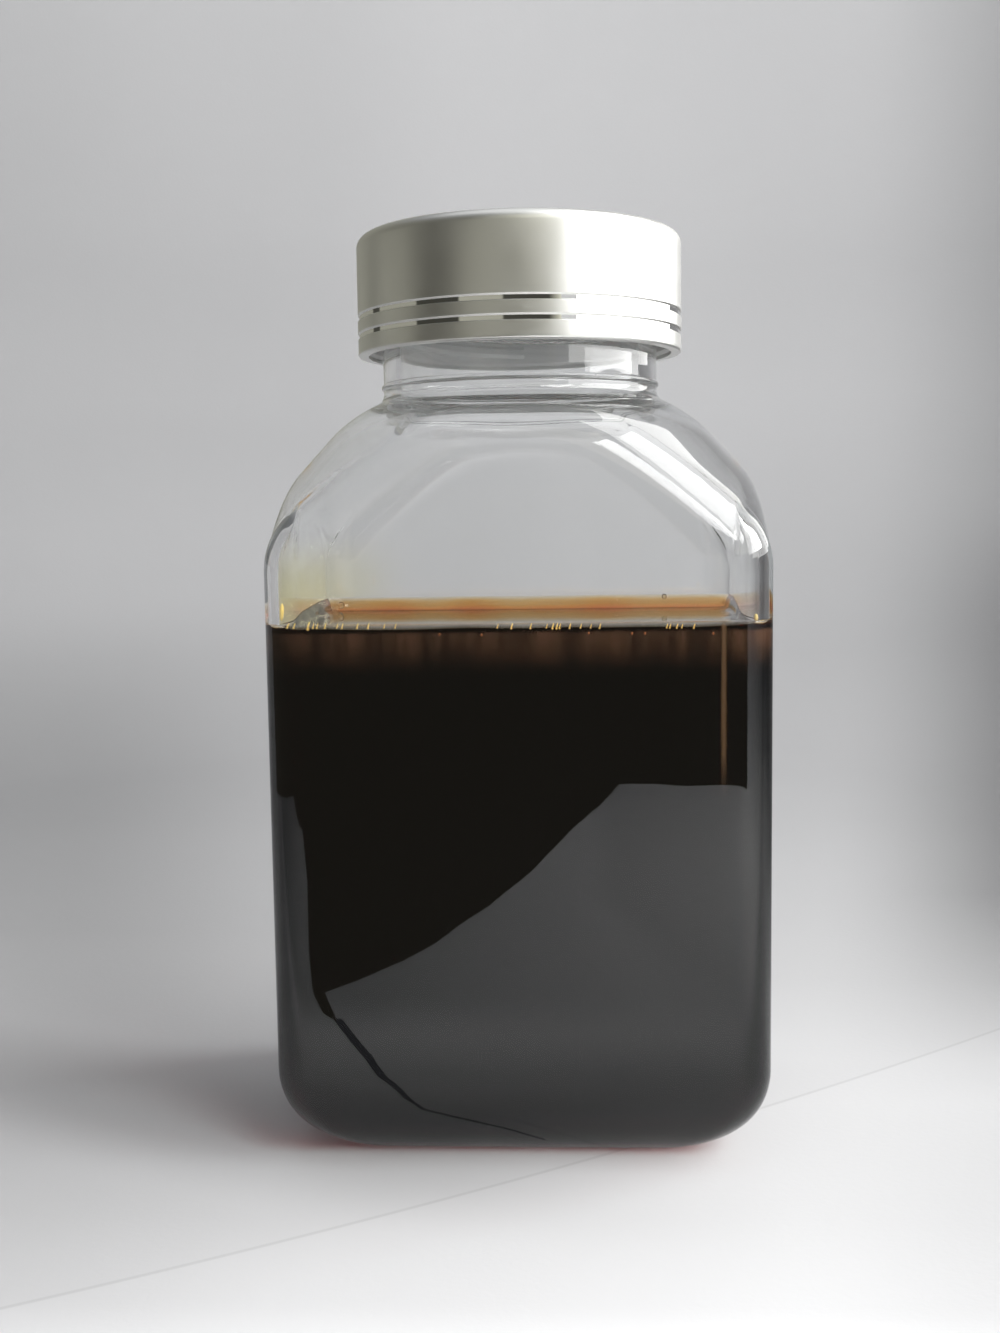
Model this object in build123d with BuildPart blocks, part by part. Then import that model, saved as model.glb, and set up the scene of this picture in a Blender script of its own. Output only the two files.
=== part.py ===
from build123d import *
import math
import os

# Clear rectangular bottle with an aluminium-clad screw cap, part filled with dark oil.
# Millimetres. Origin at the centre of the base, +Z up, front panel faces -Y.

# ---------------------------------------------------------------- driving dimensions
# bottle body
body_w = 65.5            # width across the side panels
body_d = 50.0            # depth across the front and back panels
wall = 1.5               # panel wall
corner_r = 4.5           # upright corners
inner_corner_r = 3.6
ridge_r = 7.0            # soft ridges round the shoulder
inner_ridge_r = 5.6
base_round_z = 13.0      # height of the rounded foot
base_round_x = 13.0      # how far the foot tucks in at the sides
base_round_y = 10.0      # and at the front and back
floor_t = 1.8            # base thickness
push_up = 2.0            # height of the pushed-up dish in the base
push_up_r = 13.0         # and its radius at the standing plane

# shoulder: a domed cone that the four panels cut into arches
cone_deg = 47.6          # slope of the cone below horizontal
cone_r, cone_z = 26.8, 96.6   # where the cone meets the crown arc
neck_base_z = 101.9

# neck
neck_r = 19.1
neck_bore_r = 16.8
neck_top_z = 121.6
bead_z, bead_h, bead_proud = 103.8, 0.9, 0.30

# thread, right-handed
pitch = 4.23
thread_h = 1.0           # ridge height
thread_root_w = 1.75     # ridge width at its root
thread_crest_w = 0.75
thread_sunk = 0.4        # how far the ridge is rooted in the wall
thread_start_z = 111.6   # bottle ridge, centre of its lower end
thread_turns = 1.35
insert_turns = 1.40

# oil
oil_level = 71.2

# cap
cap_r = 22.5
cap_rim_z = 108.1
cap_top_z = 124.3
shell_t = 0.5
cap_edge_r = 1.6
line_zs = (110.9, 113.4)   # the two cut lines
line_up, line_down, line_depth = 0.50, 0.42, 0.25
insert_bore_r = 20.5
insert_top_t = 0.85
liner_r = 20.2
liner_t = 1.0
seal_gap = 0.2

os.makedirs("parts", exist_ok=True)

# ---------------------------------------------------------------- derived
slope = math.tan(math.radians(cone_deg))
sunk_w = thread_root_w + (thread_root_w - thread_crest_w) * thread_sunk / thread_h
cos_s, sin_s = math.cos(math.radians(cone_deg)), math.sin(math.radians(cone_deg))


def shoulder_profile(inset, top_r, top_z):
    """Half section of the shoulder's turned form, from the axis out past the corners."""
    start = (cone_r - inset * sin_s, cone_z - inset * cos_s)
    far_r = 60.0
    far_z = start[1] - (far_r - start[0]) * slope
    with BuildSketch(Plane.XZ) as section:
        with BuildLine():
            crown = TangentArc(start, (top_r, top_z), tangent=(-cos_s, sin_s))
            Polyline((top_r, top_z), (0, top_z), (0, 0), (far_r, 0), (far_r, far_z), start)
        make_face()
    return section.sketch


dish_r = (push_up_r ** 2 + push_up ** 2) / (2 * push_up)
dish_z = push_up - dish_r


def dish_section(radius):
    """Half section of the ball whose top forms the dish in the base."""
    low_z = -3.0
    low_r = math.sqrt(radius ** 2 - (low_z - dish_z) ** 2)
    a = math.atan2(low_z - dish_z, low_r)
    mid = (radius * math.cos((a + math.pi / 2) / 2), dish_z + radius * math.sin((a + math.pi / 2) / 2))
    with BuildSketch(Plane.XZ) as section:
        with BuildLine():
            ThreePointArc((low_r, low_z), mid, (0, dish_z + radius))
            Polyline((0, dish_z + radius), (0, low_z), (low_r, low_z))
        make_face()
    return section.sketch


def foot_sections(w, d, r, z_hi, height, tuck_x, tuck_y, steps=6):
    """Level outlines of a rounded foot, from its top down to the standing plane."""
    out = []
    for k in range(steps + 1):
        a = math.radians(90.0 * k / steps)
        shrink = 1 - math.cos(a)
        out.append((z_hi - height * math.sin(a), w - 2 * tuck_x * shrink, d - 2 * tuck_y * shrink, r + 0.22 * tuck_x * shrink))
    return out


# ---------------------------------------------------------------- bottle outside
with BuildPart() as shell_form:
    with BuildSketch(Plane.XY.offset(base_round_z)):
        Rectangle(body_w, body_d)
    extrude(amount=neck_base_z - base_round_z)
    add(revolve(shoulder_profile(0.0, neck_r, neck_base_z), axis=Axis.Z, mode=Mode.PRIVATE), mode=Mode.INTERSECT)
    fillet(shell_form.edges().filter_by(Axis.Z), radius=corner_r)
    ridges = [e for e in shell_form.edges()
              if e.geom_type not in (GeomType.LINE, GeomType.CIRCLE) and 60 < e.center().Z < neck_base_z - 1]
    fillet(ridges, radius=ridge_r)

with BuildPart() as foot_form:
    for z, w, d, r in foot_sections(body_w, body_d, corner_r, base_round_z, base_round_z, base_round_x, base_round_y):
        with BuildSketch(Plane.XY.offset(z)):
            RectangleRounded(w, d, r)
    loft()

# ---------------------------------------------------------------- bottle inside
in_w, in_d = body_w - 2 * wall, body_d - 2 * wall
with BuildPart() as cavity_form:
    with BuildSketch(Plane.XY.offset(base_round_z)):
        Rectangle(in_w, in_d)
    extrude(amount=neck_base_z - base_round_z)
    add(revolve(shoulder_profile(wall, neck_bore_r, neck_base_z - 1.2), axis=Axis.Z, mode=Mode.PRIVATE), mode=Mode.INTERSECT)
    fillet(cavity_form.edges().filter_by(Axis.Z), radius=inner_corner_r)
    ridges = [e for e in cavity_form.edges()
              if e.geom_type not in (GeomType.LINE, GeomType.CIRCLE) and 60 < e.center().Z < neck_base_z - 2]
    fillet(ridges, radius=inner_ridge_r)

with BuildPart() as well_form:
    for z, w, d, r in foot_sections(in_w, in_d, inner_corner_r, base_round_z, base_round_z - floor_t,
                                    base_round_x - wall, base_round_y - wall):
        with BuildSketch(Plane.XY.offset(z)):
            RectangleRounded(w, d, r)
    loft()
    # the dish, seen from inside as a low dome
    add(revolve(dish_section(dish_r + floor_t), axis=Axis.Z, mode=Mode.PRIVATE), mode=Mode.SUBTRACT)

# ---------------------------------------------------------------- bottle
with BuildPart() as neck_thread:
    with BuildLine():
        bottle_helix = Helix(pitch=pitch, height=pitch * thread_turns, radius=neck_r, center=(0, 0, thread_start_z))
    with BuildSketch(Plane(origin=(neck_r, 0, thread_start_z), x_dir=(1, 0, 0), z_dir=(0, -1, 0))):
        Polygon((-thread_sunk, -sunk_w / 2), (thread_h, -thread_crest_w / 2),
                (thread_h, thread_crest_w / 2), (-thread_sunk, sunk_w / 2), align=None)
    sweep(path=bottle_helix, is_frenet=True)

with BuildPart() as bottle:
    add(shell_form.part)
    add(foot_form.part)
    # neck, with its bead
    with BuildSketch(Plane.XZ):
        with BuildLine():
            Polyline((0, neck_base_z - 2.5), (neck_r, neck_base_z - 2.5), (neck_r, bead_z - bead_h / 2))
            ThreePointArc((neck_r, bead_z - bead_h / 2), (neck_r + bead_proud, bead_z), (neck_r, bead_z + bead_h / 2))
            Polyline((neck_r, bead_z + bead_h / 2), (neck_r, neck_top_z - 0.6), (neck_r - 0.6, neck_top_z),
                     (0, neck_top_z), (0, neck_base_z - 2.5))
        make_face()
    revolve(axis=Axis.Z)
    add(neck_thread.part)
    # hollow
    add(cavity_form.part, mode=Mode.SUBTRACT)
    add(well_form.part, mode=Mode.SUBTRACT)
    with BuildSketch(Plane.XY.offset(neck_base_z - 2.0)):
        Circle(neck_bore_r)
    extrude(amount=neck_top_z, mode=Mode.SUBTRACT)
    # the dish under the base
    add(revolve(dish_section(dish_r), axis=Axis.Z, mode=Mode.PRIVATE), mode=Mode.SUBTRACT)
bottle.part.label = "bottle"
export_step(bottle.part, "parts/bottle.step")

# ---------------------------------------------------------------- oil
with BuildPart() as oil:
    with BuildSketch(Plane.XY.offset(base_round_z)):
        RectangleRounded(in_w, in_d, inner_corner_r)
    extrude(amount=oil_level - base_round_z)
    add(well_form.part)
oil.part.label = "oil"
export_step(oil.part, "parts/oil.step")

# ---------------------------------------------------------------- cap shell
with BuildPart() as cap_shell:
    with BuildSketch(Plane.XZ):
        with BuildLine():
            Polyline((21.1, cap_rim_z), (cap_r - 0.25, cap_rim_z), (cap_r, cap_rim_z + 0.25))
            last = (cap_r, cap_rim_z + 0.25)
            for z in line_zs:
                Polyline(last, (cap_r, z - line_down - 0.13), (cap_r - line_depth, z - line_down),
                         (cap_r - line_depth, z), (cap_r, z + line_up))
                last = (cap_r, z + line_up)
            Line(last, (cap_r, cap_top_z - cap_edge_r))
            TangentArc((cap_r, cap_top_z - cap_edge_r), (cap_r - cap_edge_r, cap_top_z), tangent=(0, 1))
            inner_r = cap_r - shell_t
            Polyline((cap_r - cap_edge_r, cap_top_z), (0, cap_top_z), (0, cap_top_z - shell_t),
                     (cap_r - cap_edge_r, cap_top_z - shell_t))
            TangentArc((cap_r - cap_edge_r, cap_top_z - shell_t), (inner_r, cap_top_z - cap_edge_r), tangent=(1, 0))
            Polyline((inner_r, cap_top_z - cap_edge_r), (inner_r, cap_rim_z + 0.5), (21.1, cap_rim_z + 0.5), (21.1, cap_rim_z))
        make_face()
    revolve(axis=Axis.Z)
cap_shell.part.label = "cap_shell"
export_step(cap_shell.part, "parts/cap_shell.step")

# ---------------------------------------------------------------- cap insert
insert_r = cap_r - shell_t
insert_rim_z = cap_rim_z + 0.5
insert_top_z = cap_top_z - shell_t
ceiling_z = insert_top_z - insert_top_t
# the female ridge lies half a pitch below the bottle's, and starts a quarter turn further round
insert_start_z = thread_start_z - pitch / 2 + pitch / 4

with BuildPart() as insert_thread:
    with BuildLine():
        insert_helix = Helix(pitch=pitch, height=pitch * insert_turns, radius=insert_bore_r, center=(0, 0, insert_start_z))
    with BuildSketch(Plane(origin=(insert_bore_r, 0, insert_start_z), x_dir=(1, 0, 0), z_dir=(0, -1, 0))):
        Polygon((thread_sunk, -sunk_w / 2), (-thread_h, -thread_crest_w / 2),
                (-thread_h, thread_crest_w / 2), (thread_sunk, sunk_w / 2), align=None)
    sweep(path=insert_helix, is_frenet=True)

with BuildPart() as cap_insert:
    with BuildSketch(Plane.XZ):
        with BuildLine():
            edge = cap_edge_r - shell_t
            Polyline((insert_bore_r + 0.4, insert_rim_z), (insert_r, insert_rim_z), (insert_r, cap_top_z - cap_edge_r))
            TangentArc((insert_r, cap_top_z - cap_edge_r), (insert_r - edge, insert_top_z), tangent=(0, 1))
            Polyline((insert_r - edge, insert_top_z), (0, insert_top_z), (0, ceiling_z), (insert_bore_r, ceiling_z),
                     (insert_bore_r, insert_rim_z + 0.4), (insert_bore_r + 0.4, insert_rim_z))
        make_face()
    revolve(axis=Axis.Z)
    add(insert_thread.part.rotate(Axis.Z, 90))
cap_insert.part.label = "cap_insert"
export_step(cap_insert.part, "parts/cap_insert.step")

# ---------------------------------------------------------------- cap liner
with BuildPart() as cap_liner:
    with BuildSketch(Plane.XY.offset(neck_top_z + seal_gap)):
        Circle(liner_r)
    extrude(amount=liner_t)
    fillet(cap_liner.edges(), radius=0.15)
cap_liner.part.label = "cap_liner"
export_step(cap_liner.part, "parts/cap_liner.step")
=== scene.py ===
import math
import random

import bmesh
import bpy
import numpy as np
from mathutils import Matrix, Vector


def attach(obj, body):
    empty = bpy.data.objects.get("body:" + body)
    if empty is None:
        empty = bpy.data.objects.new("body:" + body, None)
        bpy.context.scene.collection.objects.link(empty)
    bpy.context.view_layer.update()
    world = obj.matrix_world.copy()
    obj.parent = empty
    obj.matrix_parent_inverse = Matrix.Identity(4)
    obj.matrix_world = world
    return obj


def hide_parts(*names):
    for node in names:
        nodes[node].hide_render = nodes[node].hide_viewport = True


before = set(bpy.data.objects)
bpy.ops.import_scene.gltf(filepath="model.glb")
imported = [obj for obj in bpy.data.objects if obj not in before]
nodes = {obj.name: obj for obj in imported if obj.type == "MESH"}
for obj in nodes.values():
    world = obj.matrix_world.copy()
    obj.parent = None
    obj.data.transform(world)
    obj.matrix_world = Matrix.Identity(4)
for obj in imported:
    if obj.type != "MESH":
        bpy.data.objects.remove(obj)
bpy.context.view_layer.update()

MM = 0.001
scene = bpy.context.scene

# ------------------------------------------------------------------ sizes, in millimetres
BODY_W, BODY_D, WALL = 65.5, 50.0, 1.5
CORNER_R, INNER_R = 4.5, 3.6
FOOT_Z, FOOT_X, FOOT_Y, FLOOR_T = 13.0, 13.0, 10.0, 1.8
PUSH_UP, PUSH_R = 2.0, 13.0
OIL_Z = 71.2                 # level of the oil's open surface
CAP_R, CAP_RIM, CAP_TOP = 22.5, 108.1, 124.3
RIDGE_R, INNER_RIDGE_R = 9.0, 7.5
CONE_DEG, CONE_R, CONE_Z = 47.6, 26.8, 96.6
NECK_R, BORE_R, NECK_Z, NECK_TOP = 19.1, 16.8, 101.9, 121.6
BEAD_Z, BEAD_H, BEAD_OUT = 103.8, 0.9, 0.3
PITCH_MM, THREAD_H, THREAD_ROOT, THREAD_CREST, THREAD_Z, THREAD_TURNS = 4.23, 1.0, 1.75, 0.75, 111.6, 1.35


# ------------------------------------------------------------------ small node helpers
class Shader:
    """One material and short names for its nodes."""

    def __init__(self, name):
        self.mat = bpy.data.materials.new(name)
        self.mat.use_nodes = True
        self.tree = self.mat.node_tree
        self.tree.nodes.clear()
        self.out = self.tree.nodes.new("ShaderNodeOutputMaterial")

    def node(self, kind, **values):
        n = self.tree.nodes.new(kind)
        for key, value in values.items():
            if hasattr(n, key):
                setattr(n, key, value)
        return n

    def link(self, a, b):
        self.tree.links.new(a, b)

    def math(self, op, a, b=None, c=None, clamp=False):
        n = self.node("ShaderNodeMath", operation=op, use_clamp=clamp)
        for i, v in enumerate((a, b, c)):
            if v is None:
                continue
            if isinstance(v, (int, float)):
                n.inputs[i].default_value = v
            else:
                self.link(v, n.inputs[i])
        return n.outputs[0]

    def coords(self):
        return self.node("ShaderNodeTexCoord").outputs["Object"]

    def xyz(self, vec):
        s = self.node("ShaderNodeSeparateXYZ")
        self.link(vec, s.inputs[0])
        return s.outputs[0], s.outputs[1], s.outputs[2]

    def noise(self, vec, scale, detail=2.0, rough=0.5):
        n = self.node("ShaderNodeTexNoise")
        n.inputs["Scale"].default_value = scale
        n.inputs["Detail"].default_value = detail
        n.inputs["Roughness"].default_value = rough
        self.link(vec, n.inputs["Vector"])
        return n.outputs["Fac"]

    def ramp(self, fac, stops):
        n = self.node("ShaderNodeValToRGB")
        e = n.color_ramp.elements
        while len(e) < len(stops):
            e.new(0.5)
        for item, (pos, col) in zip(e, stops):
            item.position = pos
            item.color = (*col, 1.0) if len(col) == 3 else col
        self.link(fac, n.inputs["Fac"])
        return n.outputs["Color"]

    def maprange(self, value, lo, hi, to_lo, to_hi, smooth=False):
        n = self.node("ShaderNodeMapRange")
        n.interpolation_type = "SMOOTHSTEP" if smooth else "LINEAR"
        for i, v in ((1, lo), (2, hi), (3, to_lo), (4, to_hi)):
            n.inputs[i].default_value = v
        self.link(value, n.inputs[0])
        return n.outputs[0]

    def bump(self, height, distance, strength=1.0, normal=None):
        n = self.node("ShaderNodeBump")
        n.inputs["Strength"].default_value = strength
        n.inputs["Distance"].default_value = distance
        self.link(height, n.inputs["Height"])
        if normal is not None:
            self.link(normal, n.inputs["Normal"])
        return n.outputs["Normal"]

    def principled(self, **values):
        n = self.node("ShaderNodeBsdfPrincipled")
        for key, value in values.items():
            n.inputs[key.replace("_", " ")].default_value = value
        return n


def put(obj_name, mesh):
    o = bpy.data.objects.new(obj_name, mesh)
    scene.collection.objects.link(o)
    return o


def set_material(obj, mat):
    if obj.material_slots:
        for s in obj.material_slots:
            s.material = mat
    else:
        obj.data.materials.append(mat)


# ------------------------------------------------------------------ camera
# the photograph's viewpoint: a little above the oil, a few degrees off the front panel
F_PX, FRAME_H = 1490.0, 1333.0
PITCH, YAW, ROLL = math.radians(5.8), math.radians(3.0), math.radians(-0.8)
cam_data = bpy.data.cameras.new("camera")
cam_data.sensor_fit = "VERTICAL"
cam_data.sensor_height = 36.0
cam_data.lens = F_PX / FRAME_H * 36.0
cam_data.clip_start = 0.01
cam = put("camera", cam_data)
place = Matrix.Rotation(YAW, 4, "Z") @ Matrix.Translation((-3.37 * MM, -212.5 * MM, 86.0 * MM))
cam.matrix_world = place @ Matrix.Rotation(math.pi / 2 - PITCH, 4, "X") @ Matrix.Rotation(ROLL, 4, "Z")
scene.camera = cam

# ------------------------------------------------------------------ studio
paper = Shader("paper")
p = paper.coords()
pr = paper.principled(Roughness=0.9)
pr.inputs["Specular IOR Level"].default_value = 0.15
tone = paper.noise(p, 7.0, 3.0)
sheet_tone = paper.ramp(tone, [(0.0, (0.813, 0.813, 0.823)), (1.0, (0.875, 0.875, 0.885))])
# the cut edge of the upper sheet runs under the bottle: a fine line of painted shade along it, the far sheet a shade
# darker
px, py, pz = paper.xyz(p)
run = paper.math("ADD", paper.math("MULTIPLY", px, 0.66), paper.math("MULTIPLY", paper.math("MULTIPLY", px, px), 1.1))
off = paper.math("SUBTRACT", py, paper.math("SUBTRACT", run, 26.0 * MM))
edge_line_painted_shade = paper.maprange(paper.math("ABSOLUTE", off), 0.0001, 0.0006, 0.88, 1.0, smooth=True)
far_side = paper.maprange(off, -0.0002, 0.0004, 1.0, 0.965)
shade = paper.math("MULTIPLY", edge_line_painted_shade, far_side)
# soft falling-off of the daylight, by distance from the window side and out to the sides of the view
along = paper.maprange(py, -0.10, 0.40, 0.0, 1.0)
AWAY = [(-0.10, 0.97), (-0.078, 0.97), (-0.058, 0.74), (-0.037, 0.74), (-0.026, 0.765), (-0.013, 0.805), (0.0, 0.845), (0.017, 0.855), (0.036, 0.815),
        (0.0575, 0.78), (0.084, 0.77), (0.20, 0.68), (0.40, 0.61)]
dim = paper.ramp(along, [((y + 0.10) / 0.50, (v, v, v)) for y, v in AWAY])
UP = [(0.0, 1.0), (0.012, 0.97), (0.03, 0.93), (0.065, 0.93), (0.093, 0.95), (0.14, 1.0), (0.22, 0.965), (0.30, 0.885), (0.40, 0.80)]
dim = paper.math("MULTIPLY", dim, paper.ramp(paper.math("DIVIDE", pz, 0.40), [(z / 0.40, (v, v, v)) for z, v in UP]))
view = paper.math("DIVIDE", px, paper.math("MAXIMUM", paper.math("ADD", py, 0.212), 0.05))
behind = paper.maprange(py, 0.0, 0.09, 0.3, 1.0)
right = paper.maprange(view, 0.18, 0.36, 0.0, 0.41, smooth=True)
right = paper.math("MULTIPLY", right, paper.maprange(pz, 0.03, 0.10, 1.6, 1.0, smooth=True))
right = paper.math("MULTIPLY", right, paper.maprange(py, 0.0, 0.12, 0.2, 1.0))
left = paper.maprange(view, -0.12, -0.34, 0.0, 0.28, smooth=True)
left = paper.math("MULTIPLY", paper.math("MULTIPLY", left, behind), paper.maprange(pz, 0.0, 0.06, 1.0, 0.0, smooth=True))
high = paper.math("MULTIPLY", paper.maprange(view, -0.05, -0.17, 0.0, 0.085, smooth=True), paper.maprange(pz, 0.07, 0.13, 0.0, 1.0, smooth=True))
dim = paper.math("MULTIPLY", dim, paper.math("SUBTRACT", 1.0, paper.math("ADD", paper.math("ADD", right, left), high)))
# painted light: the sheet in front of the picture, which only the dark panel mirrors, is painted lighter towards the
# window
near = paper.math("MULTIPLY", paper.maprange(py, -0.072, -0.10, 0.0, 1.0, smooth=True), paper.maprange(px, -0.04, 0.09, -0.38, 0.15))
dim = paper.math("MULTIPLY", dim, paper.math("ADD", 1.0, near))
# the bottle's shadow lies on the paper to its left
sh_x = paper.math("DIVIDE", paper.math("ADD", px, 0.055), 0.085)
sh_y = paper.math("DIVIDE", paper.math("ADD", py, paper.math("ADD", paper.math("MULTIPLY", px, 0.45), 0.0265)), 0.026)
reach = paper.math("SQRT", paper.math("ADD", paper.math("MULTIPLY", sh_x, sh_x), paper.math("MULTIPLY", sh_y, sh_y)))
dim = paper.math("MULTIPLY", dim, paper.maprange(reach, 0.15, 1.0, 0.74, 1.0, smooth=True))
# painted light and shade: broad soft patches on the paper, up to 5% darker and 4% lighter, as where it is creased
crease_light_and_shade = paper.maprange(paper.noise(p, 3.2, 1.0), 0.3, 0.7, 0.95, 1.04, smooth=True)
shade = paper.math("MULTIPLY", paper.math("MULTIPLY", shade, dim), crease_light_and_shade)
tint = paper.node("ShaderNodeVectorMath", operation="SCALE")
paper.link(sheet_tone, tint.inputs[0])
paper.link(shade, tint.inputs["Scale"])
paper.link(tint.outputs[0], pr.inputs["Base Color"])
paper.link(paper.bump(paper.noise(p, 900.0, 3.0), 0.0002, 0.15), pr.inputs["Normal"])
paper.link(pr.outputs[0], paper.out.inputs[0])


def bowl(radius, rise, height, seg=160):
    """A round sheet that lies flat and curves up into a wall all round."""
    prof = [(0.0, 0.0), (radius * 0.5, 0.0), (radius, 0.0)]
    for k in range(1, 17):
        a = math.pi / 2 * k / 16
        prof.append((radius + rise * math.sin(a), rise * (1 - math.cos(a))))
    prof.append((radius + rise, height))
    me = bpy.data.meshes.new("floor")
    verts, faces = [(0, 0, 0)], []
    for r, z in prof[1:]:
        for j in range(seg):
            a = 2 * math.pi * j / seg
            verts.append((r * math.cos(a), r * math.sin(a), z))
    for j in range(seg):
        faces.append((0, 1 + j, 1 + (j + 1) % seg))
    for i in range(len(prof) - 2):
        for j in range(seg):
            a, b = 1 + i * seg + j, 1 + i * seg + (j + 1) % seg
            faces.append((a, a + seg, b + seg, b))
    me.from_pydata(verts, [], faces)
    me.polygons.foreach_set("use_smooth", [True] * len(me.polygons))
    me.update()
    o = put("floor", me)
    set_material(o, paper.mat)
    return o


floor = bowl(0.31, 0.20, 0.62)

world = bpy.data.worlds.new("world")
scene.world = world
world.use_nodes = True
bg = world.node_tree.nodes["Background"]
bg.inputs[0].default_value = (0.80, 0.81, 0.84, 1.0)
bg.inputs[1].default_value = 0.28


def area(name, loc, target, size, power, color=(1, 1, 1), spread=180.0):
    d = bpy.data.lights.new(name, "AREA")
    d.shape = "RECTANGLE"
    d.size, d.size_y = size
    d.energy = power
    d.color = color
    d.spread = math.radians(spread)
    o = put(name, d)
    o.location = loc
    o.rotation_euler = (Vector(target) - Vector(loc)).to_track_quat("-Z", "Y").to_euler()
    o.visible_camera = False
    return o


def polar(az_deg, dist, z):
    """A place round the object: azimuth from the front towards the right, in degrees."""
    a = math.radians(az_deg)
    return (dist * math.sin(a), -dist * math.cos(a), z)


area("window", polar(88, 0.40, 0.461), (0, 0, 0.461), (0.42, 0.638), 3.9, (1.0, 0.998, 0.985))
spill = area("spill", (0.15, -0.20, 0.26), (0.07, -0.19, 0.0), (0.12, 0.12), 0.42, (1.0, 0.998, 0.985), 110.0)
spill.visible_glossy = False
wash = area("back_wash", (0.0, 0.12, 0.60), (0.0, 0.50, 0.35), (0.6, 0.10), 0.9, (1.0, 1.0, 1.0), 120.0)
wash.visible_glossy = False
area("top_fill", (0.02, 0.02, 0.60), (0, 0, 0.0), (0.5, 0.5), 0.5, (0.97, 0.98, 1.0))

# dim cards, seen only in reflections: the unlit room in front, and the gap beside the upper sheet
flag = Shader("flag")
fe = flag.node("ShaderNodeEmission")
fe.inputs[0].default_value = (0.145, 0.130, 0.105, 1.0)
fe.inputs[1].default_value = 1.0
flag.link(fe.outputs[0], flag.out.inputs[0])


def card(name, pts, mat, faces=None):
    me = bpy.data.meshes.new(name)
    me.from_pydata([tuple(c * MM for c in q) for q in pts], [], faces or [tuple(range(len(pts)))])
    me.update()
    o = put(name, me)
    set_material(o, mat)
    o.visible_camera = False
    o.visible_diffuse = False
    o.visible_shadow = False
    o.visible_transmission = False
    o.visible_volume_scatter = False
    return o


def screen(name, az0, az1, z0, z1, mat, steps=48):
    """A curved upright card in front of the object, from one azimuth to another."""
    pts, faces = [], []
    for k in range(steps + 1):
        a = math.radians(az0 + (az1 - az0) * k / steps)
        pts += [(308 * math.sin(a), -308 * math.cos(a), z0), (308 * math.sin(a), -308 * math.cos(a), z1)]
        if k:
            faces.append((2 * k - 2, 2 * k, 2 * k + 1, 2 * k - 1))
    return card(name, pts, mat, faces)


# the rest of the window, on both sides of the lamp that stands for its middle
pane = Shader("pane")
pe = pane.node("ShaderNodeEmission")
pe.inputs[0].default_value = (4.6, 4.6, 4.5, 1.0)
pane.link(pe.outputs[0], pane.out.inputs[0])
screen("pane_front", 41.0, 61.0, 135.0, 600.0, pane.mat, 12)
screen("pane_back", 115.0, 132.0, 135.0, 600.0, pane.mat, 12)
screen("pane_top", 41.0, 132.0, 600.0, 900.0, pane.mat, 30)
screen("room_low", -92.0, 30.0, 0.0, 95.0, flag.mat)


def banded(name, tones):
    """The room's upright light and dark parts: azimuth in degrees and brightness."""
    r = Shader(name)
    rx, ry, rz = r.xyz(r.coords())
    turn = r.math("MULTIPLY", r.math("ARCTAN2", rx, r.math("MULTIPLY", ry, -1.0)), 180.0 / math.pi)
    glow = r.node("ShaderNodeEmission")
    r.link(r.ramp(r.maprange(turn, -165.0, 30.0, 0.0, 1.0), [((t + 165.0) / 195.0, (v, v * 0.985, v * 0.83)) for t, v in tones]), glow.inputs[0])
    r.link(glow.outputs[0], r.out.inputs[0])
    return r.mat


screen("room_mid", -165.0, 30.0, 95.0, 185.0, banded("room_mid", [
    (-165, 0.30), (-121, 0.30), (-120, 0.06), (-111, 0.06), (-110, 0.33), (-72, 0.33), (-71, 0.05), (-39, 0.05), (-38, 0.40), (-9, 0.40),
    (-8, 0.06), (22, 0.06), (28, 0.5), (30, 0.8)]), 78)
screen("room_high", -165.0, 30.0, 185.0, 430.0, banded("room_high", [
    (-165, 0.32), (-125, 0.26), (-105, 0.18), (-80, 0.19), (-60, 0.10), (-45, 0.09), (-25, 0.18), (-8, 0.32), (8, 0.80), (20, 1.1), (30, 1.2)]), 78)
gap = [(-38.5, -98.0), (-33.2, -105.6), (-26.5, -117.4), (-21.7, -128.2), (-17.4, -142.0), (-11.5, -160.5), (-4.1, -189.1), (5.3, -236.7),
       (13.9, -269.8), (21.4, -307.0), (-300.0, -307.0), (-75.0, -240.0), (-58.0, -180.0), (-53.9, -158.8), (-47.4, -124.0), (-44.2, -112.0),
       (-39.8, -95.2), (-37.0, -87.2), (-33.8, -82.6), (-34.6, -85.6)]
card("gap", [(x, y, 0.4) for x, y in gap], flag.mat)
# the thin shadow under the upper sheet's edge, as the bottle's foot mirrors it
edge = [(-34.0, -84.5), (-29.3, -73.5), (-25.8, -65.9), (-21.4, -52.5), (-16.8, -35.9), (-14.1, -30.3), (-8.8, -27.1), (-1.9, -23.7), (2.8, -20.9)]
shadow = Shader("edge_shadow")
se = shadow.node("ShaderNodeEmission")
se.inputs[0].default_value = (0.20, 0.20, 0.22, 1.0)
shadow.link(se.outputs[0], shadow.out.inputs[0])
strip, strip_faces = [], []
for k, (x, y) in enumerate(edge):
    x0, y0 = edge[max(0, k - 1)]
    x1, y1 = edge[min(len(edge) - 1, k + 1)]
    run_x, run_y = x1 - x0, y1 - y0
    size = math.hypot(run_x, run_y)
    w = (0.75, 0.72, 0.70, 0.62, 0.45, 0.30, 0.25, 0.22, 0.20)[k]
    strip += [(x - run_y / size * w, y + run_x / size * w, 0.3), (x + run_y / size * w, y - run_x / size * w, 0.3)]
    if k:
        strip_faces.append((2 * k - 2, 2 * k - 1, 2 * k + 1, 2 * k))
card("edge_shadow", strip, shadow.mat, strip_faces)

# ------------------------------------------------------------------ bottle
IOR_PET, IOR_OIL = 1.575, 1.48


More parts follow.
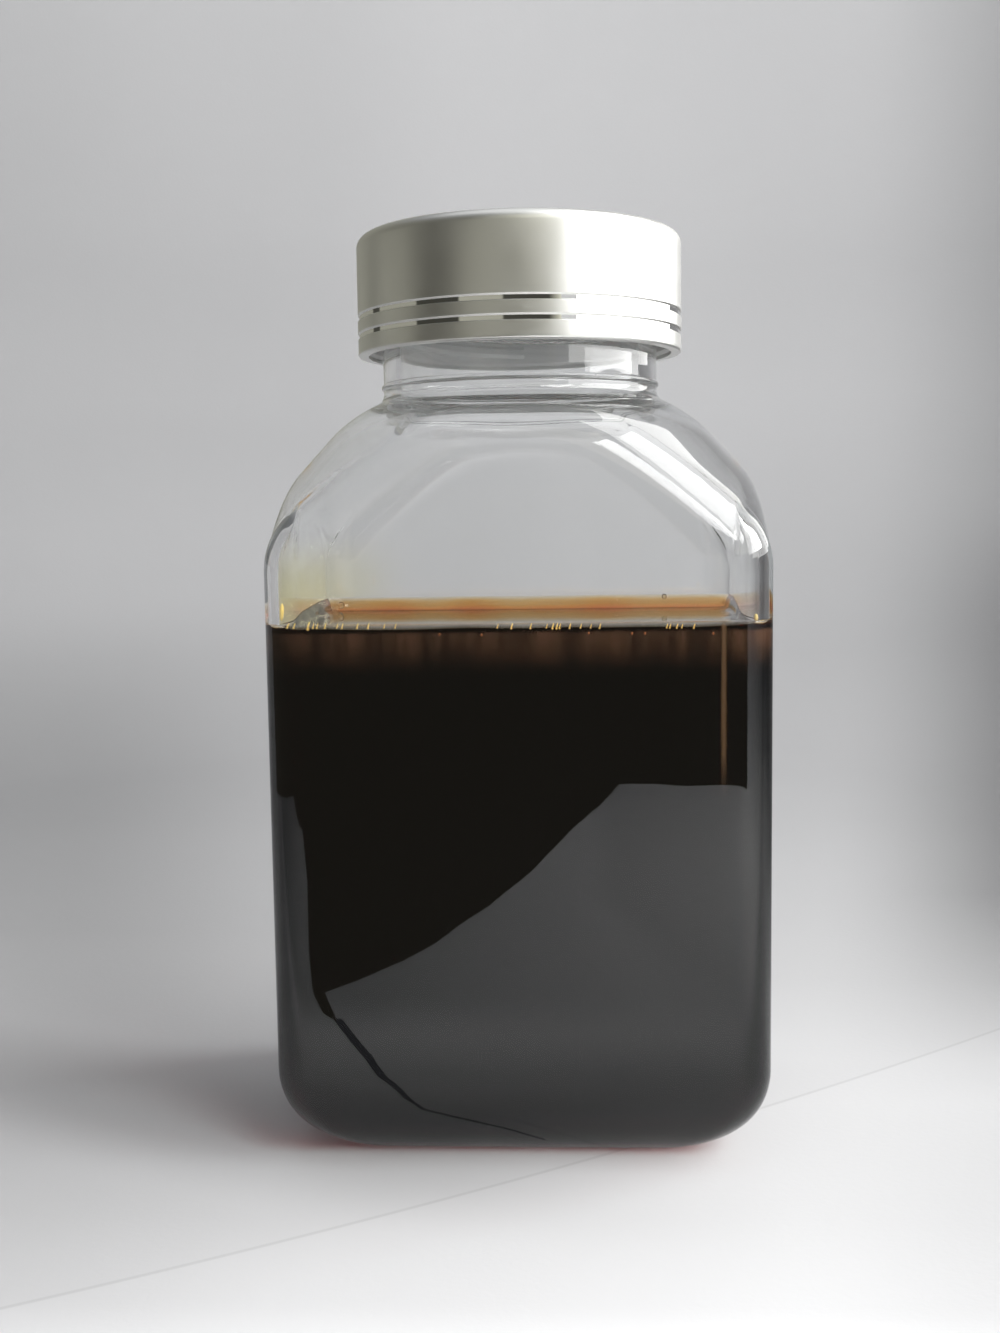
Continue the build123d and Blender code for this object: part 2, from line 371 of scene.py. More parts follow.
def clear_wall(name, inside):
    """Clear polyester with the faint waviness of a blown panel; it lets the lamps through to what is inside.
    On the inside faces the part below the contact line is wetted by the oil, which nearly hides that surface."""
    s = Shader(name)
    c = s.coords()
    x, y, z = s.xyz(c)
    wave = s.bump(s.noise(c, 55.0, 1.5), 0.0006, 0.06)

    def glass(ior):
        b = s.principled(Roughness=0.0, IOR=ior)
        b.inputs["Base Color"].default_value = (0.985, 0.99, 0.99, 1.0)
        b.inputs["Transmission Weight"].default_value = 1.0
        s.link(wave, b.inputs["Normal"])
        return b

    body = glass(IOR_PET)
    if inside:
        # a thin stain of oil left on the wall at the left, thinning out upwards
        sx = s.maprange(x, -18.0 * MM, -31.0 * MM, 0.0, 1.0, smooth=True)
        fade = s.maprange(z, 75.0 * MM, 85.0 * MM, 1.0, 0.0, smooth=True)
        blot = s.maprange(s.noise(c, 160.0, 2.0), 0.25, 0.75, 0.75, 1.0)
        stain = s.math("MULTIPLY", s.math("MULTIPLY", sx, fade), blot)
        s.link(s.ramp(stain, [(0.0, (0.985, 0.99, 0.99)), (1.0, (0.96, 0.90, 0.52))]), body.inputs["Base Color"])
        wet = s.math("LESS_THAN", z, s.maprange(y, -18.0 * MM, 18.0 * MM, (OIL_Z + CLIMB[0]) * MM, (OIL_Z + CLIMB[1]) * MM, smooth=True))
        both = s.node("ShaderNodeMixShader")
        s.link(wet, both.inputs[0])
        s.link(body.outputs[0], both.inputs[1])
        s.link(glass(IOR_PET / IOR_OIL).outputs[0], both.inputs[2])
        body = both
    t = s.node("ShaderNodeBsdfTransparent")
    t.inputs[0].default_value = (0.93, 0.94, 0.94, 1.0)
    lp = s.node("ShaderNodeLightPath")
    mix = s.node("ShaderNodeMixShader")
    # light that has rattled inside the wall for long leaves it straight on
    s.link(s.math("MAXIMUM", lp.outputs["Is Shadow Ray"], s.math("GREATER_THAN", lp.outputs["Ray Depth"], 6.5)), mix.inputs[0])
    s.link(body.outputs[0], mix.inputs[1])
    s.link(t.outputs[0], mix.inputs[2])
    s.link(mix.outputs[0], s.out.inputs[0])
    return s.mat


CLIMB = (1.15, 2.15)         # how far the oil's edge climbs the front and the back wall
SIN, COS = math.sin(math.radians(CONE_DEG)), math.cos(math.radians(CONE_DEG))
DISH_R = (PUSH_R ** 2 + PUSH_UP ** 2) / (2 * PUSH_UP)
DISH_Z = PUSH_UP - DISH_R


def outline(w, d, r, per_corner=14, per_long=44, per_short=34):
    """Points round a rounded rectangle, always the same number, so that outlines join up."""
    pts = []
    for sx, sy, a0, n_flat in ((1, 1, 0, per_long), (-1, 1, 90, per_short), (-1, -1, 180, per_long), (1, -1, 270, per_short)):
        cx, cy = sx * (w / 2 - r), sy * (d / 2 - r)
        for k in range(per_corner):
            a = math.radians(a0 + 90.0 * k / per_corner)
            pts.append((cx + r * math.cos(a), cy + r * math.sin(a), math.cos(a), math.sin(a)))
        a = math.radians(a0 + 90.0)
        x0, y0 = cx + r * math.cos(a), cy + r * math.sin(a)
        nx, ny = math.cos(a), math.sin(a)
        # straight run to the next corner
        if n_flat == per_long:
            x1, y1 = -sx * (w / 2 - r), y0
        else:
            x1, y1 = x0, -sy * (d / 2 - r)
        for k in range(n_flat):
            t = k / n_flat
            pts.append((x0 + (x1 - x0) * t, y0 + (y1 - y0) * t, nx, ny))
    return pts


def panels(x, y, w, d, r):
    """Distance to an upright wall of rounded-rectangle section, and the way it faces."""
    qx, qy = np.abs(x) - (w / 2 - r), np.abs(y) - (d / 2 - r)
    px, py = np.maximum(qx, 0), np.maximum(qy, 0)
    h = np.hypot(px, py)
    corner = h > 1e-9
    safe = np.maximum(h, 1e-9)
    gx = np.where(corner, px / safe, (qx > qy) * 1.0) * np.sign(x)
    gy = np.where(corner, py / safe, (qx <= qy) * 1.0) * np.sign(y)
    return h + np.minimum(np.maximum(qx, qy), 0) - r, gx, gy


def turned(rho, z, inset, top_r, top_z):
    """Distance to the shoulder's turned form, and the way it faces in its half section."""
    sr, sz = CONE_R - inset * SIN, CONE_Z - inset * COS
    vr, vz = top_r - sr, top_z - sz
    k = -(vr * vr + vz * vz) / (2 * (vr * SIN + vz * COS))
    dr, dz = rho - (sr - k * SIN), z - (sz - k * COS)
    far = np.maximum(np.hypot(dr, dz), 1e-9)
    crown = dz * SIN - dr * COS > 0
    line = (rho - sr) * SIN + (z - sz) * COS
    return np.where(crown, far - k, line), np.where(crown, dr / far, SIN), np.where(crown, dz / far, COS)


def section(theta, z, w, d, r, ridge=None, top=None):
    """Radius of the body at each direction and height: upright panels, turned shoulder, rolled ridge between them."""
    lo, hi = np.full(theta.shape, 0.5), np.full(theta.shape, 46.0)
    c, s = np.cos(theta), np.sin(theta)
    for _ in range(44):
        mid = (lo + hi) / 2
        a, gx, gy = panels(mid * c, mid * s, w, d, r)
        g = a
        if ridge:
            b, br, bz = turned(mid, z, *top)
            dot = br * (gx * c + gy * s)
            sin2 = np.maximum(1 - dot * dot, 1e-6)
            ia, ib = a + ridge, b + ridge
            ball = np.sqrt(np.maximum(ia * ia + ib * ib - 2 * ia * ib * dot, 0) / sin2) - ridge
            g = np.where((ia - ib * dot > 0) & (ib - ia * dot > 0), ball, np.maximum(a, b))
        out = g > 0
        hi = np.where(out, mid, hi)
        lo = np.where(out, lo, mid)
    return (lo + hi) / 2


def crown_z(r, top):
    """Height of the turned shoulder at a radius."""
    lo, hi = 90.0, 103.0
    for _ in range(40):
        mid = (lo + hi) / 2
        if turned(np.array([r]), np.array([mid]), *top)[0][0] > 0:
            hi = mid
        else:
            lo = mid
    return lo


def rolled(a, b, c, steps):
    """Points of a curve that leaves a towards b and arrives at c from b."""
    return [tuple((1 - t) ** 2 * p + 2 * t * (1 - t) * q + t * t * r for p, q, r in zip(a, b, c)) for t in [k / steps for k in range(steps + 1)]]


def thread_out(theta, z):
    """How far the thread's ridge stands out of the neck."""
    out = np.zeros(theta.shape)
    for turn in (0, 1):
        u = theta / (2 * math.pi) + turn
        off = np.abs(z - (THREAD_Z + PITCH_MM * u))
        h = np.clip((THREAD_ROOT / 2 - off) / ((THREAD_ROOT - THREAD_CREST) / 2), 0, 1)
        ends = np.clip(u / 0.03, 0, 1) * np.clip((THREAD_TURNS - u) / 0.03, 0, 1)
        out = np.maximum(out, h * ends * THREAD_H)
    return out


def bottle_mesh():
    theta = np.array([math.atan2(y, x) % (2 * math.pi) for x, y, nx, ny in outline(BODY_W, BODY_D, CORNER_R, 18, 52, 40)])
    theta.sort()
    n = len(theta)
    one = np.ones(n)
    rows, sharp_rows, marks = [], set(), {}

    def row(radius, z, sharp=False):
        if sharp:
            sharp_rows.add(len(rows))
        rows.append((radius * one, z * one))

    def foot(k, steps, w, d, r, z_lo, tx, ty):
        a = math.radians(90.0 * k / steps)
        shrink = 1 - math.cos(a)
        row(section(theta, 0, w - 2 * tx * shrink, d - 2 * ty * shrink, r + 0.22 * tx * shrink), FOOT_Z - (FOOT_Z - z_lo) * math.sin(a))

    # outside, from the middle of the base up
    for f in (0.12, 0.3, 0.5, 0.7, 0.86, 0.96):
        row(PUSH_R * f, DISH_Z + math.sqrt(DISH_R ** 2 - (PUSH_R * f) ** 2))
    base = section(theta, 0, BODY_W - 2 * FOOT_X, BODY_D - 2 * FOOT_Y, CORNER_R + 0.22 * FOOT_X)
    row(PUSH_R, 0.0, sharp=True)
    for f in (0.35, 0.7):
        row(PUSH_R + (base - PUSH_R) * f, 0.0)
    for k in range(24, -1, -1):
        foot(k, 24, BODY_W, BODY_D, CORNER_R, 0.0, FOOT_X, FOOT_Y)
    for z in (15.0, 28.0, 44.0, 60.0, 70.0, 75.0):
        row(section(theta, 0, BODY_W, BODY_D, CORNER_R), z)
    top = (0.0, NECK_R, NECK_Z)
    steps = 66
    root = crown_z(20.1, top)
    for k in range(1, steps + 1):
        z = 75.0 + (root - 75.0) * k / steps
        row(section(theta, z, BODY_W, BODY_D, CORNER_R, RIDGE_R, top), z)
    for r, z in rolled((20.1, root), (NECK_R, NECK_Z + 0.1), (NECK_R, 103.0), 8)[1:]:
        row(r, z)
    row(NECK_R, BEAD_Z - BEAD_H / 2, sharp=True)
    ball = ((BEAD_H / 2) ** 2 + BEAD_OUT ** 2) / (2 * BEAD_OUT)
    for f in (-0.75, -0.4, 0.0, 0.4, 0.75):
        row(NECK_R + BEAD_OUT - ball + math.sqrt(ball ** 2 - (f * BEAD_H / 2) ** 2), BEAD_Z + f * BEAD_H / 2)
    row(NECK_R, BEAD_Z + BEAD_H / 2, sharp=True)
    for z in (105.5, 107.0, 108.5, 110.0):
        row(NECK_R, z)
    z = 110.5
    while z < 118.6:
        row(NECK_R + thread_out(theta, z), z)
        z += 0.22
    row(NECK_R, 119.6)
    row(NECK_R, NECK_TOP - 0.6, sharp=True)
    row(NECK_R - 0.6, NECK_TOP, sharp=True)
    row(BORE_R, NECK_TOP, sharp=True)
    # inside, from the mouth down
    for z in (120.0, 115.0, 110.0, 106.5, 104.5):
        row(BORE_R, z)
    top = (WALL, BORE_R, NECK_Z - 1.2)
    root = crown_z(19.0, top)
    for r, z in rolled((BORE_R, 103.4), (BORE_R, NECK_Z - 1.15), (19.0, root), 12)[:-1]:
        row(r, z)
    w, d = BODY_W - 2 * WALL, BODY_D - 2 * WALL
    for k in range(62):
        z = root - (root - 75.0) * k / 61
        if z < 95.0 and "inside" not in marks:
            marks["inside"] = len(rows)
        row(section(theta, z, w, d, INNER_R, INNER_RIDGE_R, top), z)
    for z in (72.0, 66.0, 52.0, 36.0, 20.0):
        row(section(theta, 0, w, d, INNER_R), z)
    for k in range(0, 23):
        foot(k, 22, w, d, INNER_R, FLOOR_T, FOOT_X - WALL, FOOT_Y - WALL)
    big = DISH_R + FLOOR_T
    meet = math.sqrt(big ** 2 - (FLOOR_T - DISH_Z) ** 2)
    base = section(theta, 0, w - 2 * (FOOT_X - WALL), d - 2 * (FOOT_Y - WALL), INNER_R + 0.22 * (FOOT_X - WALL))
    for f in (0.7, 0.35):
        row(meet + (base - meet) * f, FLOOR_T)
    row(meet, FLOOR_T, sharp=True)
    for f in (0.9, 0.75, 0.55, 0.35, 0.15):
        row(meet * f, DISH_Z + math.sqrt(big ** 2 - (meet * f) ** 2))

    verts = [(r * math.cos(t) * MM, r * math.sin(t) * MM, z * MM) for rr, zz in rows for r, t, z in zip(rr, theta, zz)]
    verts += [(0, 0, PUSH_UP * MM), (0, 0, (DISH_Z + big) * MM)]
    faces, inside = [], []
    for i in range(len(rows) - 1):
        for j in range(n):
            k = (j + 1) % n
            faces.append((i * n + j, i * n + k, (i + 1) * n + k, (i + 1) * n + j))
            inside.append(i >= marks["inside"])
    last = (len(rows) - 1) * n
    for j in range(n):
        k = (j + 1) % n
        faces.append((k, j, len(verts) - 2))
        inside.append(False)
        faces.append((last + j, last + k, len(verts) - 1))
        inside.append(True)
    me = bpy.data.meshes.new("bottle_clear")
    me.from_pydata(verts, [], faces)
    me.materials.append(clear_wall("clear_pet", False))
    me.materials.append(clear_wall("clear_pet_inside", True))
    me.polygons.foreach_set("material_index", [int(v) for v in inside])
    bm = bmesh.new()
    bm.from_mesh(me)
    bmesh.ops.recalc_face_normals(bm, faces=bm.faces)
    bm.to_mesh(me)
    bm.free()
    me.polygons.foreach_set("use_smooth", [True] * len(me.polygons))
    flags = me.attributes.new("sharp_edge", "BOOLEAN", "EDGE")
    flags.data.foreach_set("value", [e.vertices[0] // n == e.vertices[1] // n and e.vertices[0] // n in sharp_rows for e in me.edges])
    me.update()
    return me


me = bottle_mesh()
bottle = put("bottle_clear", me)
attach(bottle, "bottle_body")
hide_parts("bottle")


# ------------------------------------------------------------------ oil
def smooth(t):
    t = min(1.0, max(0.0, t))
    return t * t * (3 - 2 * t)


def oil_mesh():
    gap = 0.04
    w0, d0 = BODY_W - 2 * WALL - 2 * gap, BODY_D - 2 * WALL - 2 * gap
    dish_r = (PUSH_R ** 2 + PUSH_UP ** 2) / (2 * PUSH_UP)
    dish_z = PUSH_UP - dish_r
    big = dish_r + FLOOR_T
    rows = []
    # floor, from near the axis outwards
    base_w = w0 - 2 * (FOOT_X - WALL)
    base_d = d0 - 2 * (FOOT_Y - WALL)
    base_r = INNER_R + 0.22 * (FOOT_X - WALL)
    rim = outline(base_w, base_d, base_r)
    for s in (0.02, 0.12, 0.25, 0.38, 0.5, 0.62, 0.72, 0.8, 0.88, 0.95):
        row = []
        for x, y, nx, ny in rim:
            px, py = x * s, y * s
            q = big ** 2 - px ** 2 - py ** 2
            z = max(FLOOR_T, dish_z + math.sqrt(q))
            row.append((px, py, z + gap))
        rows.append(row)
    # foot
    steps = 18
    for k in range(steps + 1):
        a = math.radians(90.0 * (1 - k / steps))
        shrink = 1 - math.cos(a)
        z = FOOT_Z - (FOOT_Z - FLOOR_T - gap) * math.sin(a)
        pts = outline(w0 - 2 * (FOOT_X - WALL) * shrink, d0 - 2 * (FOOT_Y - WALL) * shrink, INNER_R + 0.22 * (FOOT_X - WALL) * shrink)
        rows.append([(x, y, z) for x, y, nx, ny in pts])
    wall_pts = outline(w0, d0, INNER_R)
    for z in (24.0, 36.0, 48.0, 58.0, 66.0):
        rows.append([(x, y, z) for x, y, nx, ny in wall_pts])
    # edge of the oil: distance in from the wall and height above the level, from the contact line down to the level
    rng = random.Random(7)
    waves = [(rng.uniform(0.15, 0.9), rng.uniform(0, 6.28), rng.uniform(0.02, 0.05)) for _ in range(7)]
    behind = [(0.004, 2.15), (0.05, 2.05), (0.12, 1.92), (0.20, 1.78), (0.30, 1.62), (0.40, 1.44), (0.49, 1.24), (0.56, 1.02),
              (0.61, 0.80), (0.66, 0.60), (0.74, 0.43), (0.88, 0.29), (1.10, 0.18), (1.5, 0.10), (2.1, 0.045), (3.2, 0.012), (5.0, 0.0)]
    before = [(0.004, 1.15), (0.014, 1.08), (0.03, 0.98), (0.05, 0.89), (0.08, 0.79), (0.115, 0.70), (0.16, 0.61), (0.21, 0.53),
              (0.27, 0.455), (0.35, 0.385), (0.45, 0.315), (0.58, 0.25), (0.78, 0.18), (1.1, 0.115), (1.6, 0.06), (2.6, 0.02), (4.4, 0.0)]
    first_edge = len(rows)
    for k, ((s1, h1), (s0, h0)) in enumerate(zip(behind, before)):
        most = {len(behind) - 2: 3.0, len(behind) - 1: 3.5}.get(k, 2.7)  # stays short of the corner's centre, so that the rows never cross
        row = []
        for x, y, nx, ny in wall_pts:
            t = x + 1.7 * y
            ripple = sum(a * math.sin(f * t + ph) for f, ph, a in waves)
            back = smooth((y + 18.0) / 36.0)
            fat = min(most, (s0 + (s1 * 1.2 - s0) * back) * (1 + 1.2 * ripple))
            h = h0 + (h1 - h0) * back
            row.append((x - nx * fat, y - ny * fat, OIL_Z + h * (1 + ripple * (1 - h1 / 2.15))))
        rows.append(row)
    last = rows[-1]
    for s in (0.85, 0.65, 0.42, 0.2, 0.03):
        rows.append([(x * s, y * s, OIL_Z + (z - OIL_Z) * s * s) for x, y, z in last])
    n = len(wall_pts)
    verts = [tuple(c * MM for c in v) for row in rows for v in row]
    faces = []
    for i in range(len(rows) - 1):
        for j in range(n):
            a, b = i * n + j, i * n + (j + 1) % n
            faces.append((a, b, b + n, a + n))
    faces.append(tuple(range(n))[::-1])
    faces.append(tuple((len(rows) - 1) * n + j for j in range(n)))
    me = bpy.data.meshes.new("oil_body")
    me.from_pydata(verts, [], faces)
    bm = bmesh.new()
    bm.from_mesh(me)
    bmesh.ops.recalc_face_normals(bm, faces=bm.faces)
    bm.to_mesh(me)
    bm.free()
    me.polygons.foreach_set("use_smooth", [True] * len(me.polygons))
    ring = set(range(first_edge * n, first_edge * n + n))
    sharp = me.attributes.new("sharp_edge", "BOOLEAN", "EDGE")
    sharp.data.foreach_set("value", [e.vertices[0] in ring and e.vertices[1] in ring for e in me.edges])
    me.update()
    return me


oil_s = Shader("dark_oil")
oc = oil_s.coords()
ox, oy, oz = oil_s.xyz(oc)
ob = oil_s.principled(Roughness=0.0, IOR=IOR_OIL)
ob.inputs["Base Color"].default_value = (1.0, 1.0, 1.0, 1.0)
ob.inputs["Transmission Weight"].default_value = 1.0
oside = oil_s.node("ShaderNodeMixShader")
oclear = oil_s.node("ShaderNodeBsdfTransparent")
# painted light: the top of the oil against the front wall is painted a lit brown, in faint upright streaks, with one
# brown line painted down the right front corner
streak = oil_s.node("ShaderNodeCombineXYZ")
oil_s.link(ox, streak.inputs[0])
oil_s.link(oy, streak.inputs[1])
oil_s.link(oil_s.math("MULTIPLY", oz, 0.12), streak.inputs[2])
glow = oil_s.maprange(oz, 65.5 * MM, 71.2 * MM, 0.0, 1.0, smooth=True)
glow = oil_s.math("MULTIPLY", glow, oil_s.maprange(oil_s.noise(streak.outputs[0], 620.0, 3.0), 0.35, 0.68, 0.10, 0.38))
front_only = oil_s.math("MULTIPLY", oil_s.math("LESS_THAN", oy, 0.0), oil_s.maprange(oz, 70.9 * MM, 71.5 * MM, 1.0, 0.0, smooth=True))
glow = oil_s.math("MULTIPLY", glow, front_only)
streak_line = oil_s.maprange(oil_s.math("ABSOLUTE", oil_s.math("SUBTRACT", ox, 26.2 * MM)), 0.1 * MM, 0.5 * MM, 0.30, 0.0, smooth=True)
streak_line = oil_s.math("MULTIPLY", streak_line, oil_s.math("MULTIPLY", oil_s.maprange(oz, 49.0 * MM, 56.0 * MM, 0.0, 1.0), oil_s.math("LESS_THAN", oy, 0.0)))
obrown = oil_s.node("ShaderNodeBsdfDiffuse")
oil_s.link(oil_s.ramp(streak_line, [(0.0, (0.17, 0.080, 0.042)), (0.3, (0.30, 0.17, 0.08))]), obrown.inputs[0])
oil_s.link(oil_s.math("MAXIMUM", glow, streak_line), oside.inputs[0])
oil_s.link(oclear.outputs[0], oside.inputs[1])
oil_s.link(obrown.outputs[0], oside.inputs[2])
# where the oil touches the wall it joins it without a boundary of its own
ax = oil_s.math("SUBTRACT", oil_s.math("ABSOLUTE", ox), (BODY_W / 2 - WALL - 0.04 - INNER_R) * MM)
ay = oil_s.math("SUBTRACT", oil_s.math("ABSOLUTE", oy), (BODY_D / 2 - WALL - 0.04 - INNER_R) * MM)
rr = oil_s.math("SQRT", oil_s.math("ADD", oil_s.math("POWER", oil_s.math("MAXIMUM", ax, 0.0), 2.0), oil_s.math("POWER", oil_s.math("MAXIMUM", ay, 0.0), 2.0)))
edge = oil_s.math("COMPARE", rr, INNER_R * MM, 0.00002)
low = oil_s.math("LESS_THAN", oz, 60.0 * MM)
side = oil_s.math("MAXIMUM", edge, low)
omix = oil_s.node("ShaderNodeMixShader")
oil_s.link(side, omix.inputs[0])
oil_s.link(ob.outputs[0], omix.inputs[1])
oil_s.link(oside.outputs[0], omix.inputs[2])
oil_s.link(omix.outputs[0], oil_s.out.inputs[0])
ova = oil_s.node("ShaderNodeVolumeAbsorption")
ova.inputs[0].default_value = (0.935, 0.639, 0.032, 1.0)
ova.inputs[1].default_value = 3100.0
oil_s.link(ova.outputs[0], oil_s.out.inputs[1])

oil = put("oil_body", oil_mesh())
set_material(oil, oil_s.mat)
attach(oil, "bottle_body")
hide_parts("oil")

# small golden beads along the oil's edge at the front wall, coloured bright as painted glints, and a few reddish beads
# and bubbles
GLINT_BEADS = [(-29.18, 72.29), (-28.4, 72.29), (-26.59, 72.27), (-25.94, 72.26), (-25.43, 72.26), (-24.4, 72.25), (-22.85, 72.23), (-22.2, 72.22),
         (-20.27, 72.2), (-18.86, 72.19), (-16.8, 72.17), (-15.39, 72.15), (-2.33, 72.02), (-0.55, 72.0), (1.87, 71.98), (3.9, 71.96), (4.67, 71.95),
         (5.18, 71.95), (5.56, 71.94), (6.83, 71.93), (8.22, 71.92), (9.49, 71.9), (10.63, 71.89), (19.09, 71.81), (19.47, 71.8), (20.35, 71.79),
         (20.98, 71.79), (22.49, 71.77)]
LOW_DROPS = [(-9.76, 71.01), (14.67, 70.9), (16.31, 70.9), (24.88, 70.8), (-4.4, 70.9), (9.2, 71.0)]


def blob(bm, at, half, tilt, slot, seg=10, rings=8):
    """A small closed egg."""
    turn = Matrix.Rotation(tilt, 3, "Y")
    made = bmesh.ops.create_uvsphere(bm, u_segments=seg, v_segments=rings, radius=1.0)
    for v in made["verts"]:
        q = turn @ Vector((v.co.x * half[0], v.co.y * half[1], v.co.z * half[2]))
        v.co = (Vector(at) + q) * MM
    for f in {f for v in made["verts"] for f in v.link_faces}:
        f.material_index = slot
        f.smooth = True


def drops_and_glints_mesh():
    bm = bmesh.new()
    rng = random.Random(11)
    inner_w, inner_d = BODY_W / 2 - WALL, BODY_D / 2 - WALL
    for k, (x, z) in enumerate(GLINT_BEADS):
        over = min(3.3, max(0.0, abs(x) - (inner_w - INNER_R)))
        y = -(inner_d - INNER_R) - math.sqrt((INNER_R - 0.17) ** 2 - over ** 2)
        size = rng.uniform(0.8, 1.15) * (1.35 if k == 2 else 1.0)
        blob(bm, (x, y, z), (0.085 * size, 0.07, 0.34 * size), math.radians(18), 0)
        blob(bm, (x - 0.07, y, z - 0.30 * size), (0.125 * size, 0.08, 0.125 * size), 0.0, 0)
    for x, z in LOW_DROPS:
        blob(bm, (x, -(inner_d - 0.12), z), (0.10, 0.07, 0.16), 0.0, 1)
    blob(bm, (-30.62, -21.3, 73.9), (0.28, 0.28, 1.15), math.radians(4), 0)
    blob(bm, (30.5, -21.4, 72.6), (0.22, 0.22, 0.5), 0.0, 0)
    blob(bm, (-29.5, 21.6, 72.2), (0.55, 0.4, 0.55), 0.0, 2)
    blob(bm, (21.41, 23.0, 72.95), (0.42, 0.35, 0.42), 0.0, 2)
    me = bpy.data.meshes.new("oil_drops_and_glints")
    bm.to_mesh(me)
    bm.free()
    return me


def drop_material(name, color, glassy):
    d = Shader(name)
    c = d.coords()
    b = d.principled(Roughness=0.25, IOR=1.45)
    d.link(d.ramp(d.noise(c, 1200.0, 1.0), [(0.3, tuple(v * 0.85 for v in color)), (0.7, color)]), b.inputs["Base Color"])
    if glassy:
        b.inputs["Roughness"].default_value = 0.0
        b.inputs["Transmission Weight"].default_value = 1.0
    d.link(b.outputs[0], d.out.inputs[0])
    return d.mat


drops_and_glints_me = drops_and_glints_mesh()
# painted glints: the golden beads' bright colour
drops_and_glints_me.materials.append(drop_material("oil_glint_bead", (0.88, 0.66, 0.24), False))
drops_and_glints_me.materials.append(drop_material("oil_red_dot", (0.55, 0.22, 0.08), False))
drops_and_glints_me.materials.append(drop_material("oil_bubble", (0.97, 0.93, 0.82), True))
drops_and_glints = put("oil_drops_and_glints", drops_and_glints_me)
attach(drops_and_glints, "bottle_body")

# ------------------------------------------------------------------ cap
def lathe(name, prof, cut=(), seg=256):
    """Turned body from (radius, height, sharp) points that start and end on the axis; cut lists the bands of the second finish."""
    ring = prof[1:-1]
    verts = [(0, 0, prof[0][1] * MM)]
    for r, z, hard in ring:
        verts += [(r * math.cos(2 * math.pi * j / seg) * MM, r * math.sin(2 * math.pi * j / seg) * MM, z * MM) for j in range(seg)]
    verts.append((0, 0, prof[-1][1] * MM))
    end = len(verts) - 1
    faces, slots = [], []
    for j in range(seg):
        k = (j + 1) % seg
        faces.append((0, 1 + j, 1 + k))
        faces.append((end, end - seg + k, end - seg + j))
        slots += [0, 0]
    for i in range(len(ring) - 1):
        for j in range(seg):
            k = (j + 1) % seg
            a0 = 1 + i * seg
            faces.append((a0 + j, a0 + seg + j, a0 + seg + k, a0 + k))
            slots.append(1 if i in cut else 0)
    me = bpy.data.meshes.new(name)
    me.from_pydata(verts, [], faces)
    bm = bmesh.new()
    bm.from_mesh(me)
    bmesh.ops.recalc_face_normals(bm, faces=bm.faces)
    bm.to_mesh(me)
    bm.free()
    me.polygons.foreach_set("use_smooth", [True] * len(me.polygons))
    flags = me.attributes.new("sharp_edge", "BOOLEAN", "EDGE")
    hard_rings = {i for i, q in enumerate(ring) if q[2]}
    flags.data.foreach_set("value", [0 < e.vertices[0] < end and 0 < e.vertices[1] < end and (e.vertices[0] - 1) // seg == (e.vertices[1] - 1) // seg
                                     and (e.vertices[0] - 1) // seg in hard_rings for e in me.edges])
    return me, slots


EDGE_R, SHELL_T = 1.6, 0.5
prof = [(0, CAP_TOP, 0), (4, CAP_TOP, 0), (12, CAP_TOP, 0), (18, CAP_TOP, 0)]
prof += [(CAP_R - EDGE_R + EDGE_R * math.sin(math.radians(a)), CAP_TOP - EDGE_R + EDGE_R * math.cos(math.radians(a)), 0) for a in range(0, 91, 6)]
prof += [(CAP_R, z, 0) for z in (121.0, 119.0, 117.0, 115.5, 114.6)]
cut = []
for z in (113.4, 110.9):
    prof += [(CAP_R, z + 0.32, 1), (CAP_R - 0.2, z + 0.08, 1)]
    cut.append(len(prof) - 2)
    prof += [(CAP_R - 0.2, z - 0.47, 1), (CAP_R, z - 0.58, 1)]
prof += [(CAP_R, 109.6, 0), (CAP_R, 108.7, 0)]
prof += [(CAP_R - 0.3 + 0.3 * math.cos(math.radians(a)), CAP_RIM + 0.3 - 0.3 * math.sin(math.radians(a)), 0) for a in range(0, 91, 15)]
prof += [(21.1, CAP_RIM, 1), (21.1, CAP_RIM + 0.5, 1), (CAP_R - SHELL_T, CAP_RIM + 0.5, 1), (CAP_R - SHELL_T, 115.0, 0)]
prof += [(CAP_R - EDGE_R + (EDGE_R - SHELL_T) * math.cos(math.radians(a)), CAP_TOP - EDGE_R + (EDGE_R - SHELL_T) * math.sin(math.radians(a)), 0)
         for a in range(0, 91, 10)]
prof += [(12, CAP_TOP - SHELL_T, 0), (0, CAP_TOP - SHELL_T, 0)]
shell_me, shell_slots = lathe("cap_shell_satin", prof, cut)

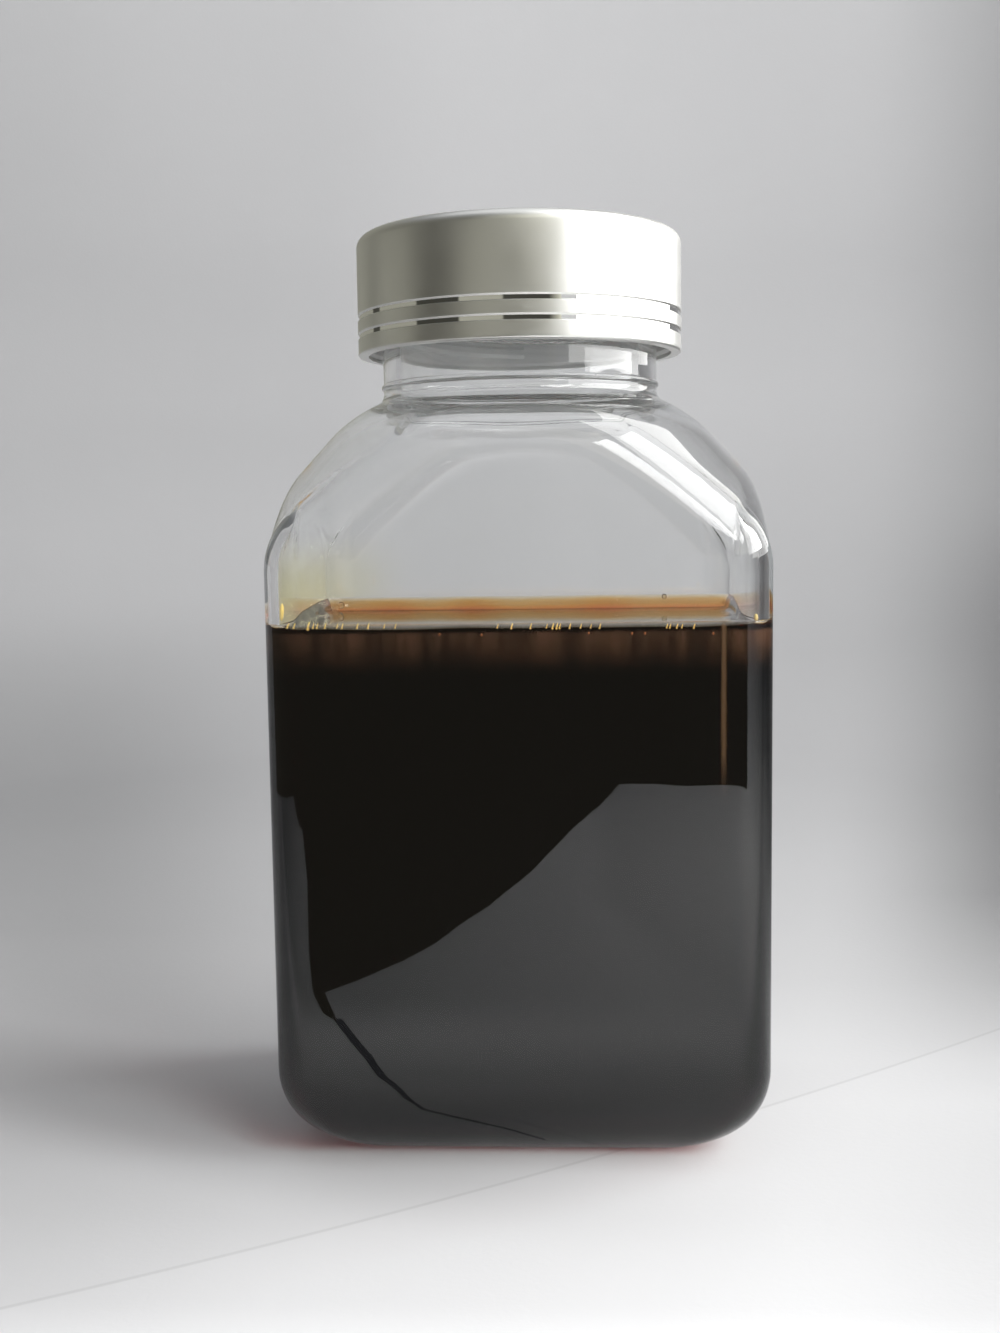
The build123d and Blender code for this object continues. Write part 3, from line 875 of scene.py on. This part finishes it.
shell = Shader("satin_metal")
c = shell.coords()
rough = shell.maprange(shell.noise(c, 260.0, 4.0), 0.3, 0.7, 0.33, 0.39)
m = shell.principled(Metallic=1.0)
m.inputs["Base Color"].default_value = (0.80, 0.80, 0.775, 1.0)
shell.link(rough, m.inputs["Roughness"])
shell.link(shell.bump(shell.noise(c, 9000.0, 2.0), 0.00003, 0.25), m.inputs["Normal"])
shell.link(m.outputs[0], shell.out.inputs[0])
bright = Shader("cut_metal")
c = bright.coords()
m = bright.principled(Metallic=1.0)
m.inputs["Base Color"].default_value = (0.86, 0.86, 0.84, 1.0)
bright.link(bright.maprange(bright.noise(c, 300.0, 2.0), 0.3, 0.7, 0.03, 0.06), m.inputs["Roughness"])
bright.link(m.outputs[0], bright.out.inputs[0])
shell_me.materials.append(shell.mat)
shell_me.materials.append(bright.mat)
shell_me.polygons.foreach_set("material_index", shell_slots)
cap_shell = put("cap_shell_satin", shell_me)
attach(cap_shell, "cap")
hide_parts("cap_shell")

inner = Shader("inner_cap")
c = inner.coords()
b = inner.principled(Roughness=0.45)
inner.link(inner.ramp(inner.noise(c, 120.0, 3.0), [(0.0, (0.78, 0.78, 0.77)), (1.0, (0.86, 0.86, 0.85))]), b.inputs["Base Color"])
inner.link(inner.bump(inner.noise(c, 1500.0, 2.0), 0.00005, 0.2), b.inputs["Normal"])
inner.link(b.outputs[0], inner.out.inputs[0])
set_material(nodes["cap_insert"], inner.mat)

foam = Shader("liner_foam")
c = foam.coords()
b = foam.principled(Roughness=0.85)
foam.link(foam.ramp(foam.noise(c, 2500.0, 2.0), [(0.3, (0.84, 0.84, 0.82)), (0.7, (0.93, 0.93, 0.91))]), b.inputs["Base Color"])
foam.link(foam.bump(foam.noise(c, 2500.0, 2.0), 0.0001, 0.4), b.inputs["Normal"])
foam.link(b.outputs[0], foam.out.inputs[0])
set_material(nodes["cap_liner"], foam.mat)

# ------------------------------------------------------------------ picture
scene.view_settings.view_transform = "Standard"
scene.cycles.max_bounces = 12
scene.cycles.transmission_bounces = 12
scene.cycles.glossy_bounces = 8
scene.cycles.transparent_max_bounces = 24
scene.cycles.caustics_refractive = True
scene.cycles.caustics_reflective = False
